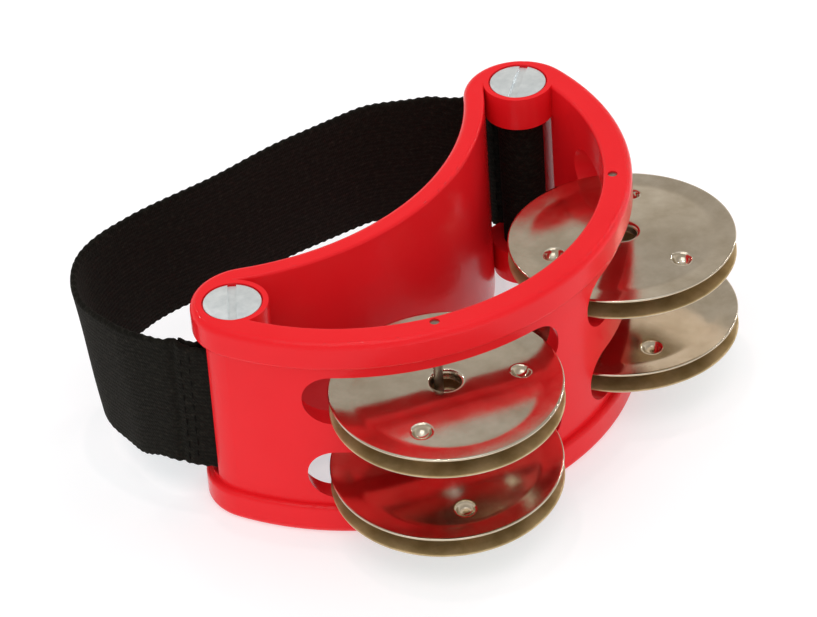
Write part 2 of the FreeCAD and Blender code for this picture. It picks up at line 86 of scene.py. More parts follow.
def object_coordinates(owner):
    return add_node(owner, "ShaderNodeTexCoord").outputs["Object"]


def split_vector(owner, vector):
    node = add_node(owner, "ShaderNodeSeparateXYZ")
    link(owner, vector, node.inputs["Vector"])
    return node.outputs


def noise(owner, where, scale, detail=2.0, roughness=0.5):
    node = add_node(owner, "ShaderNodeTexNoise", Scale=scale, Detail=detail, Roughness=roughness)
    link(owner, where, node.inputs["Vector"])
    return node.outputs["Fac"]


def ramp(owner, value, stops):
    """Colour ramp over a value: stops are (position, colour) pairs."""
    node = add_node(owner, "ShaderNodeValToRGB")
    link(owner, value, node.inputs["Fac"])
    elements = node.color_ramp.elements
    for element, (position, colour) in zip(elements, (stops[0], stops[-1])):
        element.position = position
        element.color = colour
    for position, colour in stops[1:-1]:
        elements.new(position).color = colour
    return node.outputs["Color"]


def spread(owner, value, low, high, start=0.0, end=1.0):
    """Map a value that runs from start to end onto the range from low to high."""
    node = add_node(owner, "ShaderNodeMapRange")
    node.inputs["From Min"].default_value = start
    node.inputs["From Max"].default_value = end
    node.inputs["To Min"].default_value = low
    node.inputs["To Max"].default_value = high
    link(owner, value, node.inputs["Value"])
    return node.outputs["Result"]


def math_node(owner, operation, *values):
    node = add_node(owner, "ShaderNodeMath", operation=operation)
    for socket, value in zip(node.inputs, values):
        if isinstance(value, (int, float)):
            socket.default_value = value
        else:
            link(owner, value, socket)
    return node.outputs["Value"]


def bump(owner, height, strength, distance, under=None):
    node = add_node(owner, "ShaderNodeBump", Strength=strength, Distance=distance)
    link(owner, height, node.inputs["Height"])
    if under is not None:
        link(owner, under, node.inputs["Normal"])
    return node.outputs["Normal"]


# ------------------------------------------------------------------------------- materials

def make_red_plastic():
    """Glossy moulded plastic with a slight orange peel and a sparkling clear skin."""
    material = new_material(
        "red_moulded_plastic",
        IOR=1.46, Specular_IOR_Level=0.06, Coat_Weight=0.28, Coat_Roughness=0.06)
    where = object_coordinates(material)
    tint = noise(material, where, scale=45.0, detail=3.0)
    colour = ramp(material, tint, [
        (0.3, (0.820, 0.0125, 0.0185, 1)),
        (0.5, (0.840, 0.0140, 0.0200, 1)),
        (0.7, (0.860, 0.0155, 0.0220, 1))])
    link(material, colour, shader_input(material, "Base Color"))
    haze = noise(material, where, scale=180.0, detail=4.0)
    link(material, spread(material, haze, 0.08, 0.22), shader_input(material, "Roughness"))
    swell_noise = noise(material, where, scale=160.0)
    swell = bump(material, swell_noise, strength=0.12, distance=0.00035)
    peel_noise = noise(material, where, scale=1500.0)
    peel = bump(material, peel_noise, strength=0.28, distance=0.00012, under=swell)
    link(material, peel, shader_input(material, "Normal"))
    sparkle_noise = noise(material, where, scale=1900.0)
    sparkle = bump(material, sparkle_noise, strength=0.75, distance=0.00016, under=swell)
    link(material, sparkle, shader_input(material, "Coat Normal"))
    return material


def make_nickel():
    """Nickel on the outer face; the face towards the partner disc gets a painted reflection, a
    rougher and less metallic brass tone, for the light that bounces between the two discs.
    """
    material = new_material("nickel_plate")
    coordinates = add_node(material, "ShaderNodeTexCoord").outputs
    where = coordinates["Object"]
    upwards = split_vector(material, coordinates["Normal"])["Z"]
    under = spread(material, upwards, 1.0, 0.0, start=-0.3, end=0.1)
    stain = noise(material, where, scale=120.0, detail=4.0, roughness=0.6)
    plated = ramp(material, stain, [
        (0.30, (0.590, 0.515, 0.400, 1)),
        (0.70, (0.780, 0.705, 0.590, 1))])
    # Painted reflection: a brass tone on the faces towards the partner disc, in place of the light
    # bounced between the discs.
    gap_reflection_brass = ramp(material, stain, [
        (0.35, (0.430, 0.310, 0.140, 1)),
        (0.65, (0.680, 0.520, 0.290, 1))])
    mix = add_node(material, "ShaderNodeMix", data_type="RGBA")
    link(material, under, mix.inputs["Factor"])
    link(material, plated, mix.inputs[MIX_FIRST])
    link(material, gap_reflection_brass, mix.inputs[MIX_SECOND])
    link(material, mix.outputs[MIX_RESULT], shader_input(material, "Base Color"))
    smear = noise(material, where, scale=300.0, detail=6.0, roughness=0.7)
    polish = spread(material, smear, 0.05, 0.26)
    extra_roughness = math_node(material, "MULTIPLY", under, 0.25)
    roughness = math_node(material, "ADD", polish, extra_roughness)
    link(material, roughness, shader_input(material, "Roughness"))
    # Painted reflection: less metal on the faces towards the partner disc, so that they pick up
    # diffuse light in place of the light bounced between the discs.
    gap_reflection_metal_cut = math_node(material, "MULTIPLY", under, 0.38)
    link(material, math_node(material, "SUBTRACT", 1.0, gap_reflection_metal_cut), shader_input(material, "Metallic"))
    wave_noise = noise(material, where, scale=90.0, detail=1.0)
    waves = bump(material, wave_noise, strength=0.05, distance=0.0003)
    grain_noise = noise(material, where, scale=2200.0, detail=3.0, roughness=0.7)
    grain = bump(material, grain_noise, strength=0.16, distance=0.00006, under=waves)
    link(material, grain, shader_input(material, "Normal"))
    return material


def make_pin_steel():
    """Drawn wire: stained grey steel with fine lines along its length."""
    material = new_material("drawn_pin_steel", Metallic=1.0)
    where = object_coordinates(material)
    stain = noise(material, where, scale=500.0, detail=3.0)
    colour = ramp(material, stain, [
        (0.35, (0.30, 0.27, 0.22, 1)),
        (0.65, (0.48, 0.45, 0.39, 1))])
    link(material, colour, shader_input(material, "Base Color"))
    link(material, spread(material, stain, 0.22, 0.40), shader_input(material, "Roughness"))
    stretched = add_node(material, "ShaderNodeMapping", Scale=(1.0, 1.0, 0.05))
    link(material, where, stretched.inputs["Vector"])
    drawn = noise(material, stretched.outputs["Vector"], scale=3000.0)
    lines = bump(material, drawn, strength=0.3, distance=0.00005)
    link(material, lines, shader_input(material, "Normal"))
    return material


def make_post_metal():
    """Pale cast metal of the posts and their screws, slightly pitted."""
    material = new_material("cast_post_metal", Metallic=0.75)
    where = object_coordinates(material)
    stain = noise(material, where, scale=420.0, detail=5.0, roughness=0.6)
    colour = ramp(material, stain, [
        (0.3, (0.74, 0.80, 0.83, 1)),
        (0.7, (0.90, 0.95, 0.97, 1))])
    link(material, colour, shader_input(material, "Base Color"))
    link(material, spread(material, stain, 0.30, 0.46), shader_input(material, "Roughness"))
    pits = noise(material, where, scale=700.0, detail=3.0)
    dents = bump(material, pits, strength=0.35, distance=0.00010)
    link(material, dents, shader_input(material, "Normal"))
    return material


RIB_PITCH = 1.05
LOOP_PITCH = 0.72


def knit_height(material, uv):
    """Ribs along the strap crossed by small loops, both wandering a little."""
    place = split_vector(material, uv)
    wander = noise(material, uv, scale=420.0, detail=3.0, roughness=0.6)
    drift = math_node(material, "MULTIPLY", wander, 1.1 * MM)
    waves = []
    for distance, pitch in ((place["Y"], RIB_PITCH), (place["X"], LOOP_PITCH)):
        drifted = math_node(material, "ADD", distance, drift)
        turns = math_node(material, "MULTIPLY", drifted, 2 * math.pi / (pitch * MM))
        waves.append(math_node(material, "SINE", turns))
    ribs, loops = waves
    crossed = math_node(material, "MULTIPLY", ribs, loops)
    half_ribs = math_node(material, "MULTIPLY", ribs, 0.5)
    half_crossed = math_node(material, "MULTIPLY", crossed, 0.5)
    return math_node(material, "ADD", half_ribs, half_crossed)


def make_elastic():
    """Knitted elastic. The piece's UV map is in metres: U along the strap, V across it."""
    material = new_material(
        "black_knit_elastic", Roughness=0.88, Specular_IOR_Level=0.12,
        Sheen_Weight=0.04, Sheen_Roughness=0.45, Sheen_Tint=(0.55, 0.50, 0.42, 1))
    uv = add_node(material, "ShaderNodeUVMap", uv_map="cloth").outputs["UV"]
    lint = noise(material, uv, scale=900.0, detail=6.0, roughness=0.75)
    colour = ramp(material, lint, [
        (0.25, (0.0025, 0.0020, 0.0012, 1)),
        (0.50, (0.0060, 0.0052, 0.0034, 1)),
        (0.64, (0.0150, 0.0135, 0.0095, 1)),
        (0.78, (0.0650, 0.0600, 0.0480, 1))])
    link(material, colour, shader_input(material, "Base Color"))
    knit = bump(material, knit_height(material, uv), strength=0.42, distance=0.00020)
    fuzz = noise(material, uv, scale=2600.0, detail=3.0, roughness=0.7)
    fluffy = bump(material, fuzz, strength=0.8, distance=0.00020, under=knit)
    link(material, fluffy, shader_input(material, "Normal"))
    return material


def make_thread():
    material = new_material("black_sewing_thread", Roughness=0.9, Specular_IOR_Level=0.1)
    strands = noise(material, object_coordinates(material), scale=4000.0)
    colour = ramp(material, strands, [
        (0.3, (0.0020, 0.0018, 0.0015, 1)),
        (0.7, (0.0060, 0.0052, 0.0040, 1))])
    link(material, colour, shader_input(material, "Base Color"))
    twist = bump(material, strands, strength=0.5, distance=0.00005)
    link(material, twist, shader_input(material, "Normal"))
    return material


# ------------------------------------------------------------------------ pieces kept as CAD

def dress(node, material):
    for place in nodes[node].material_slots:
        place.material = material


def dress_cad_pieces():
    dress("frame", make_red_plastic())
    pin_steel = make_pin_steel()
    post_metal = make_post_metal()
    for side in SIDES:
        dress(f"{side}_jingle_pin", pin_steel)
        dress(f"{side}_strap_post", post_metal)
        dress(f"{side}_post_screw", post_metal)


# ------------------------------------------------------------------------------ mesh helpers

def new_object(name, vertices, faces, material, smooth=True):
    mesh = bpy.data.meshes.new(name)
    mesh.from_pydata([tuple(v) for v in vertices], [], faces)
    mesh.update()
    mesh.materials.append(material)
    for polygon in mesh.polygons:
        polygon.use_smooth = smooth
    piece = bpy.data.objects.new(name, mesh)
    bpy.context.scene.collection.objects.link(piece)
    return piece


def ring_faces(rows, columns, close_rows=True, first=0):
    """Quads of a grid stored row by row from vertex first; each row is a closed ring."""
    faces = []
    for row in range(rows if close_rows else rows - 1):
        for column in range(columns):
            below = (row + 1) % rows
            beside = (column + 1) % columns
            corners = (
                row * columns + column, row * columns + beside,
                below * columns + beside, below * columns + column)
            faces.append(tuple(first + corner for corner in corners))
    return faces


def end_caps(rows, columns, first=0):
    """The two faces that close a tube of rings at its ends."""
    start = tuple(first + column for column in range(columns))
    end = tuple(first + (rows - 1) * columns + column for column in range(columns))
    return [start[::-1], end]


def smoothstep(t):
    t = min(max(t, 0.0), 1.0)
    return t * t * (3 - 2 * t)


def spaced(start, end, step):
    """Even steps from start up to, but not including, end."""
    count = max(1, round((end - start) / step))
    return [start + (end - start) * i / count for i in range(count)]


# ---------------------------------------------------------------------------------- jingles
# A jingle is one pressed sheet: a collar round its hole, a dome, a low foot, and a flange that
# rises again to the rim, with three dimples pressed down from the outer face.

HALF_SHEET = 0.25
HUB_RADIUS = 3.45
COLLAR_END = -0.8
COLLAR_END_ROW = 0.2
COLLAR_BEND = 0.75
COLLAR_BEND_STEPS = 6
CROWN_RADIUS, CROWN_RISE = 5.0, 1.15
FOOT_RADIUS, FOOT_RISE = 20.5, -0.23
EDGE_RADIUS, EDGE_RISE = 25.0, 0.03
DOME_POWER = 1.25
BEND_REACH = 0.6
BEND_SAMPLES = (-1.0, -0.5, 0.0, 0.5, 1.0)
RIM_STEPS = 4
DIMPLE_CIRCLE = 16.3
DIMPLE_RADIUS = 2.3
DIMPLE_DEPTH = 1.6
DIMPLE_BALL = (DIMPLE_RADIUS**2 + DIMPLE_DEPTH**2) / (2 * DIMPLE_DEPTH)
DIMPLE_ANGLES = (60, 180, 300)
# The mesh is finer within this reach of a dimple's middle: in radius, and in degrees of turn.
FINE_REACH, FINE_TURN = 3.0, 13.0
DOME_RING_STEP, FINE_RING_STEP, FLANGE_RING_STEP = 0.45, 0.2, 0.35
FINE_SPOKE_STEP, COARSE_SPOKE_STEP = 0.75, 3.0
# Half the turn, in radians, over which a dimple's slope along its ring is measured.
SLOPE_NUDGE = 0.004


def sharp_height(radius):
    """Height of the sheet's middle, dome then flange, before the bend between them is eased."""
    if radius <= FOOT_RADIUS:
        t = max(0.0, (radius - CROWN_RADIUS) / (FOOT_RADIUS - CROWN_RADIUS))
        return CROWN_RISE + (FOOT_RISE - CROWN_RISE) * t**DOME_POWER
    t = (radius - FOOT_RADIUS) / (EDGE_RADIUS - FOOT_RADIUS)
    return FOOT_RISE + (EDGE_RISE - FOOT_RISE) * t


def disc_height(radius):
    """Height of the sheet's middle with its bends eased, dimples apart."""
    total = sum(sharp_height(radius + sample * BEND_REACH) for sample in BEND_SAMPLES)
    return total / len(BEND_SAMPLES)


def dimple_height(radius, angle):
    """Depth of the pressed dimples at a point of the disc: round-bottomed, crisp at the lip."""
    for centre in DIMPLE_ANGLES:
        turn = math.radians(centre) - angle
        gap = math.sqrt(
            radius**2 + DIMPLE_CIRCLE**2 - 2 * radius * DIMPLE_CIRCLE * math.cos(turn))
        if gap < DIMPLE_RADIUS:
            return DIMPLE_BALL - DIMPLE_DEPTH - math.sqrt(DIMPLE_BALL**2 - gap**2)
    return 0.0


def collar_line():
    """Points (radius, height) up the collar and over its bend, on the sheet's middle."""
    bend_foot = CROWN_RISE - COLLAR_BEND
    line = [(HUB_RADIUS, z) for z in (COLLAR_END, COLLAR_END + COLLAR_END_ROW, bend_foot)]
    for step in range(1, COLLAR_BEND_STEPS + 1):
        angle = math.pi - math.pi / 2 * step / COLLAR_BEND_STEPS
        line.append((
            HUB_RADIUS + COLLAR_BEND * (1 + math.cos(angle)),
            bend_foot + COLLAR_BEND * math.sin(angle)))
    return line


def sheet_radii():
    """Radii of the mesh's rings from crown to rim, closer together across the dimples."""
    inner, outer = DIMPLE_CIRCLE - FINE_REACH, DIMPLE_CIRCLE + FINE_REACH
    dome = spaced(CROWN_RADIUS, inner, DOME_RING_STEP)
    dimples = spaced(inner, outer, FINE_RING_STEP)
    flange = spaced(outer, EDGE_RADIUS, FLANGE_RING_STEP)
    return dome + dimples + flange + [EDGE_RADIUS]


def spoke_angles():
    """Angles of the mesh's spokes, closer together across the dimples."""
    third = 360 / len(DIMPLE_ANGLES)
    fine = spaced(-FINE_TURN, FINE_TURN, FINE_SPOKE_STEP)
    coarse = spaced(FINE_TURN, third - FINE_TURN, COARSE_SPOKE_STEP)
    return [math.radians(centre + step) for centre in DIMPLE_ANGLES for step in fine + coarse]


def slope_around(radius, angle):
    """Slope of the sheet along its own ring, which only the dimples give it."""
    ahead = dimple_height(radius, angle + SLOPE_NUDGE)
    behind = dimple_height(radius, angle - SLOPE_NUDGE)
    return (ahead - behind) / (2 * SLOPE_NUDGE * radius)


def sheet_normals(line, angle):
    """Outward normals (radial, around, up) along a spoke's middle line."""
    normals = []
    for i, (radius, _) in enumerate(line):
        r0, z0 = line[max(i - 1, 0)]
        r1, z1 = line[min(i + 1, len(line) - 1)]
        run, rise = r1 - r0, z1 - z0
        length = math.hypot(run, rise)
        normal = Vector((-rise / length, -slope_around(radius, angle) * run / length, run / length))
        normals.append(normal.normalized())
    return normals


def face_points(line, normals, side):
    """Points (radial, around, up) of the sheet's outer face, side 1, or inner face, side -1."""
    offset = side * HALF_SHEET
    return [(r + offset * n.x, offset * n.y, z + offset * n.z) for (r, z), n in zip(line, normals)]


def rounded_end(point, normal, out):
    """Points round the sheet's end, between its two faces."""
    radius, height = point
    points = []
    for step in range(1, RIM_STEPS):
        turn = math.pi * step / RIM_STEPS
        way = normal * math.cos(turn) + out * math.sin(turn)
        points.append((radius + HALF_SHEET * way.x, 0.0, height + HALF_SHEET * way.z))
    return points


def spoke_loop(line, angle):
    """One closed section: out over the outer face, round the rim and back under it."""
    normals = sheet_normals(line, angle)
    loop = face_points(line, normals, 1)
    loop += rounded_end(line[-1], normals[-1], Vector((1, 0, 0)))
    loop += face_points(line, normals, -1)[::-1]
    loop += rounded_end(line[0], -normals[0], Vector((0, 0, -1)))
    return loop


def make_jingle_mesh(material):
    collar, radii = collar_line(), sheet_radii()
    angles = spoke_angles()
    vertices = []
    for angle in angles:
        cos, sin = math.cos(angle), math.sin(angle)
        line = collar + [(r, disc_height(r) + dimple_height(r, angle)) for r in radii]
        loop = spoke_loop(line, angle)
        vertices += [(MM * (r * cos - t * sin), MM * (r * sin + t * cos), MM * z) for r, t, z in loop]
    faces = ring_faces(len(angles), len(vertices) // len(angles))
    pattern = new_object("jingle_pattern", vertices, faces, material)
    mesh = pattern.data
    bpy.data.objects.remove(pattern)
    return mesh


# How each pair lies on its pin: the turn of its dimples in degrees, the millimetres in X and
# Y from the pin to its centre, and the degrees it leans down towards the front left.
JINGLE_REST = {
    "left_upper": (20, 0.0, -2.0, 1.5),
    "left_lower": (52, -0.98, -1.62, 3.5),
    "right_upper": (90, -0.25, -2.0, -1.7),
    "right_lower": (58, -0.25, -2.0, -1.5),
}
LEAN_HEADING = math.radians(-49.0)
LEAN_AXIS = Vector((math.cos(LEAN_HEADING), math.sin(LEAN_HEADING), 0.0))
LOW_DISC_HEIGHT = {"lower": 10.55, "upper": 30.55}
JINGLE_SPACING = 4.3


def add_jingle(stem, place, mesh):
    """Hang one disc of a pair on its pin; the bottom one is turned over to face its partner."""
    turn, slack_x, slack_y, lean = JINGLE_REST[stem]
    side, row = stem.split("_")
    pin_low, pin_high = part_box(f"{side}_jingle_pin")
    pin = (pin_low + pin_high) / 2
    height = LOW_DISC_HEIGHT[row] + (JINGLE_SPACING if place == "top" else 0.0)
    centre = Vector((pin.x + slack_x * MM, pin.y + slack_y * MM, height * MM))
    facing = Matrix.Rotation(math.pi if place == "bottom" else 0.0, 4, "X")
    spin = Matrix.Rotation(math.radians(turn), 4, "Z")
    tip_down = Matrix.Rotation(math.radians(lean), 4, LEAN_AXIS)
    jingle = bpy.data.objects.new(f"{stem}_{place}_disc", mesh)
    bpy.context.scene.collection.objects.link(jingle)
    jingle.matrix_world = Matrix.Translation(centre) @ tip_down @ spin @ facing
    node = f"{stem}_jingle_{place}"
    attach(jingle, node)
    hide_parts(node)


def add_jingles():
    mesh = make_jingle_mesh(make_nickel())
    for stem in JINGLE_REST:
        for place in ("top", "bottom"):
            add_jingle(stem, place, mesh)


# ------------------------------------------------------------------------------- plan lines

CURVE_PIECES = 40


def curve_through(points, step):
    """Evenly spaced points on a smooth curve through the given points."""
    points = [Vector(p) for p in points]
    padded = [2 * points[0] - points[1]] + points + [2 * points[-1] - points[-2]]
    dense = []
    for p0, p1, p2, p3 in zip(padded, padded[1:], padded[2:], padded[3:]):
        for i in range(CURVE_PIECES):
            t = i / CURVE_PIECES
            dense.append(0.5 * (
                2 * p1 + (p2 - p0) * t + (2 * p0 - 5 * p1 + 4 * p2 - p3) * t**2
                + (3 * p1 - p0 - 3 * p2 + p3) * t**3))
    dense.append(points[-1])
    return resample(dense, step)


def resample(points, step):
    """The same line as evenly spaced points, about step apart."""
    lengths = [0.0]
    for a, b in zip(points, points[1:]):
        lengths.append(lengths[-1] + (b - a).length)
    count = max(2, round(lengths[-1] / step))
    result = []
    index = 0
    for i in range(count + 1):
        target = lengths[-1] * i / count
        while index < len(points) - 2 and lengths[index + 1] < target:
            index += 1
        span = lengths[index + 1] - lengths[index]
        t = (target - lengths[index]) / span if span else 0.0
        result.append(points[index].lerp(points[index + 1], min(t, 1.0)))
    return result


def smooth_line(line, rounds):
    for _ in range(rounds):
        middle = [(a + 2 * b + c) / 4 for a, b, c in zip(line, line[1:], line[2:])]
        line = [line[0]] + middle + [line[-1]]
    return line


def direction(line, index):
    ahead = line[min(index + 1, len(line) - 1)]
    behind = line[max(index - 1, 0)]
    return (ahead - behind).normalized()


def left_of(along):
    return Vector((-along.y, along.x))


def offset_line(line, distance):
    """The line moved to its left by a distance."""
    return [point + left_of(direction(line, i)) * distance for i, point in enumerate(line)]


def nearest_index(line, mark):
    return min(range(len(line)), key=lambda i: (line[i] - Vector(mark)).length)


# ------------------------------------------------------------------------------------ strap

post_low, post_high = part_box("left_strap_post")
POST_X = -(post_low.x + post_high.x) / 2 / MM
POST_Y = (post_low.y + post_high.y) / 2 / MM
strap_low, strap_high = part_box("elastic_strap")
STRAP_BOTTOM = strap_low.z / MM
STRAP_WIDTH = (strap_high.z - strap_low.z) / MM
PLY = 1.5
PLY_GAP = 0.12
LOOP_RADIUS = 4.4
LOOP_STEPS = 40
STRAP_STEP = 0.5
# Plan points of the slack strap's outer ply, from the left post to the right one, measured
# in millimetres from the point midway between the posts.
STRAP_ROUTE = [
    (-58.0, 4.5), (-59.9, 9.3), (-61.2, 14.0), (-62.2, 24.0), (-58.6, 38.0), (-47.0, 47.0),
    (-31.0, 46.6), (-13.0, 40.5), (11.0, 34.0), (28.5, 29.4), (41.0, 22.2), (49.0, 15.0),
    (52.0, 11.0), (54.0, 7.0),
]
# The folded ends reach back to the route's second point from either post, and are sewn there.
FOLD_POINTS = 2
SEAMS = (STRAP_ROUTE[FOLD_POINTS - 1], STRAP_ROUTE[-FOLD_POINTS])
TUCK = STRAP_ROUTE[FOLD_POINTS]

# How far the slack strap's upper and lower edges ride up, at distances across from left tip
# to right.
EDGE_RISES = [
    (-62.0, 0.9, -1.6), (-50.0, 1.3, 0.6), (-35.0, 1.7, 3.4), (-13.0, 2.8, 4.4), (8.0, 4.0, 4.4),
    (28.0, 3.2, 3.3), (42.0, 1.6, 0.8), (48.0, 0.2, -2.6),
]
# On the left, that lift fades in over this stretch of Y behind the post.
LIFT_START, LIFT_REACH = 4.0, 10.0
# The lower edge sags sideways at the left bend, which this stretch of Y and this of X fade in.
BEND_SAG = Vector((2.7, -3.1))
BEND_START_Y, BEND_REACH_Y = 10.0, 22.0
BEND_START_X, BEND_REACH_X = -18.0, 30.0
# A seam draws the cloth in and puckers its upper edge; beside the left one the lower edge lifts.
SEAM_DEPTH = 0.5
SEAM_REACH = 0.7
SEAM_BUMP = 1.1
PUCKER_REACH = 2.1
PUCKER_BAND = 0.3
TUCK_LIFT = 2.2
TUCK_REACH = 6.0
# The knit scallops both edges, within this share of half the width, a little unevenly.
SCALLOP_DEPTH = 0.16
SCALLOP_PITCH = 2.1
SCALLOP_BAND = 0.07
SCALLOP_WANDER, SCALLOP_WANDER_LENGTH = 0.8, 9.0
# The cloth leans in and out in slow waves, each with its height and its length over two pi.
LEAN_WAVES = ((0.35, 17.0), (0.2, 6.3))
LEAN_SHARE = 0.25
LEAN_RIPPLE = 3
# Its cut ends are pressed thin.
CUT_END_SHARE = 0.55
CUT_END_REACH = 1.2
ROWS_ACROSS = 34
EDGE_STEPS = 6
# The inner face's texture is shifted across, so that it doesn't repeat the outer face's.
INNER_FACE_SHIFT = 0.1


def loop_round(post, strap_end, side):
    """Points round a post from the inner ply's tangent point to the outer ply's."""
    reach = strap_end - post
    facing = math.atan2(reach.y, reach.x)
    tangent = math.acos(LOOP_RADIUS / reach.length)
    start = facing + side * tangent
    sweep = side * (2 * math.pi - 2 * tangent)
    points = []
    for i in range(LOOP_STEPS + 1):
        angle = start + sweep * i / LOOP_STEPS
        points.append(post + LOOP_RADIUS * Vector((math.cos(angle), math.sin(angle))))
    return points


def strap_line():
    """Whole path of the elastic: fold, loop, across the heel, loop and fold, evenly spaced."""
    main = curve_through(STRAP_ROUTE, STRAP_STEP)
    inner = offset_line(main, -(PLY + PLY_GAP))
    left_fold_end, right_fold_end = (nearest_index(main, seam) for seam in SEAMS)
    left_fold = inner[:left_fold_end][::-1]
    right_fold = inner[right_fold_end:][::-1]
    left_loop = loop_round(Vector((-POST_X, 0.0)), main[0].lerp(inner[0], 0.5), -1)
    right_loop = loop_round(Vector((POST_X, 0.0)), main[-1].lerp(inner[-1], 0.5), 1)
    line = left_fold + left_loop + main + right_loop[::-1] + right_fold
    line = smooth_line(resample(smooth_line(line, rounds=3), STRAP_STEP), rounds=3)
    return resample(line, STRAP_STEP)


def strap_section():
    """Closed section of the elastic, as (sideways, height) with rounded edges."""
    half = PLY / 2
    flat = STRAP_WIDTH - PLY
    edge_turns = [math.pi * i / EDGE_STEPS for i in range(1, EDGE_STEPS)]
    section = [(half, half + flat * i / ROWS_ACROSS) for i in range(ROWS_ACROSS + 1)]
    for turn in edge_turns:
        section.append((half * math.cos(turn), STRAP_WIDTH - half + half * math.sin(turn)))
    for i in range(ROWS_ACROSS + 1):
        section.append((-half, STRAP_WIDTH - half - flat * i / ROWS_ACROSS))
    for turn in edge_turns:
        section.append((-half * math.cos(turn), half - half * math.sin(turn)))
    return section


def edge_rises(x):
    """Rise of the upper and of the lower edge at a distance across, eased between places."""
    if x <= EDGE_RISES[0][0]:
        return EDGE_RISES[0][1:]
    for (x0, upper0, lower0), (x1, upper1, lower1) in zip(EDGE_RISES, EDGE_RISES[1:]):
        if x <= x1:
            t = smoothstep((x - x0) / (x1 - x0))
            return upper0 + (upper1 - upper0) * t, lower0 + (lower1 - lower0) * t
    return EDGE_RISES[-1][1:]


def edge_share(top, band):
    """0 up to a band below the upper edge, then rising to 1 at the edge."""
    return smoothstep((top - 1 + band) / band)


def nearness(point, marks, reach):
    """1 at the nearest of the marks, fading to 0 over a few times the reach."""
    return max(math.exp(-((point - Vector(mark)).length / reach)**2) for mark in marks)


def cross_lift(point, travelled, lean):
    """Function of a section point's height that gives how far it rides up at this station."""
    away = smoothstep((point.y - LIFT_START) / LIFT_REACH) if point.x < 0 else 1.0
    upper_rise, lower_rise = edge_rises(point.x)
    wander = SCALLOP_WANDER * math.sin(travelled / SCALLOP_WANDER_LENGTH)
    scallop = SCALLOP_DEPTH * math.sin(2 * math.pi * travelled / SCALLOP_PITCH + wander)
    pucker = SEAM_BUMP * nearness(point, SEAMS, PUCKER_REACH)
    tuck = TUCK_LIFT * nearness(point, [TUCK], TUCK_REACH)

    def lift(top):
        """Lift at top, which is 1 at the upper edge and -1 at the lower one."""
        edge = edge_share(abs(top), SCALLOP_BAND) * (1 if top > 0 else -1)
        rise = away * (upper_rise * (1 + top) + lower_rise * (1 - top)) / 2
        gathered = pucker * edge_share(top, PUCKER_BAND) + tuck * (1 - top) / 2
        return rise + gathered + edge * scallop + LEAN_SHARE * lean * top * top

    return lift


def cross_shift(point, along, lean):
    """Function of a section point that gives its sideways shift in plan at this station."""
    bend = smoothstep((point.y - BEND_START_Y) / BEND_REACH_Y)
    bend *= smoothstep((BEND_START_X - point.x) / BEND_REACH_X)
    seam = SEAM_DEPTH * nearness(point, SEAMS, SEAM_REACH)
    left = left_of(along)

    def shift(sideways, top):
        ripple = LEAN_SHARE * lean * math.sin(LEAN_RIPPLE * top)
        return BEND_SAG * (bend * (1 - top) / 2) + left * (sideways - seam + ripple)

    return shift


def strap_vertices(line, section):
    """Vertices of the elastic in metres, and each one's place on the flat cloth."""
    vertices = []
    marks = []
    travelled = 0.0
    for i, point in enumerate(line):
        if i:
            travelled += (point - line[i - 1]).length
        lean = sum(height * math.sin(travelled / length) for height, length in LEAN_WAVES)
        lift = cross_lift(point, travelled, lean)
        shift = cross_shift(point, direction(line, i), lean)
        from_end = min(i, len(line) - 1 - i) * STRAP_STEP
        thin = CUT_END_SHARE + (1 - CUT_END_SHARE) * smoothstep(from_end / CUT_END_REACH)
        for sideways, height in section:
            top = (height / STRAP_WIDTH - 0.5) * 2
            spot = point + shift(sideways * thin, top)
            z = STRAP_BOTTOM + height + lift(top)
            vertices.append((MM * spot.x, MM * (spot.y + POST_Y), MM * z))
            across = MM * height + (INNER_FACE_SHIFT if sideways < 0 else 0.0)
            marks.append((MM * travelled, across))
    return vertices, marks


def add_strap(material):
    line = strap_line()
    section = strap_section()
    vertices, marks = strap_vertices(line, section)
    faces = ring_faces(len(line), len(section), close_rows=False)
    faces += end_caps(len(line), len(section))
    strap = new_object("elastic_band", vertices, faces, material)
    cloth = strap.data.uv_layers.new(name="cloth")
    for corner in strap.data.loops:
        cloth.data[corner.index].uv = marks[corner.vertex_index]
    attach(strap, "frame")
    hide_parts("elastic_strap")


# --------------------------------------------------------------------------------- stitches

STITCH_LENGTH = 2.1
STITCH_GAP = 1.1
STITCH_ARCH = 0.22
STITCH_SINK = 0.1
STITCH_WANDER, STITCH_WANDER_RATE = 0.12, 5
THREAD_RADIUS = 0.15
THREAD_END_SHARE = 0.55
THREAD_RINGS = 9
THREAD_SIDES = 6
LOW_MARGIN, TOP_MARGIN = 1.6, 1.4
# Each row's steps back from the seam and the height that its stitches start above the margin.
STITCH_ROWS = ((3, 0.0), (7, 1.1))


def stitch_rings(spot, along, out, bottom, row):
    """Rings of one stitch: a thread that rises out of the cloth, arches and dives back in."""
    wander = along * (STITCH_WANDER * math.sin(STITCH_WANDER_RATE * bottom + row))
    rings = []
    for i in range(THREAD_RINGS):
        t = i / (THREAD_RINGS - 1)
        arch = math.sin(math.pi * t)
        centre = spot + out * (arch * STITCH_ARCH - STITCH_SINK) + wander
        radius = THREAD_RADIUS * (THREAD_END_SHARE + (1 - THREAD_END_SHARE) * arch)
        z = STRAP_BOTTOM + bottom + STITCH_LENGTH * t
        for k in range(THREAD_SIDES):
            turn = 2 * math.pi * k / THREAD_SIDES
            p = centre + along * (radius * math.cos(turn)) + out * (radius * math.sin(turn))
            rings.append((MM * p.x, MM * (p.y + POST_Y), MM * z))
    return rings


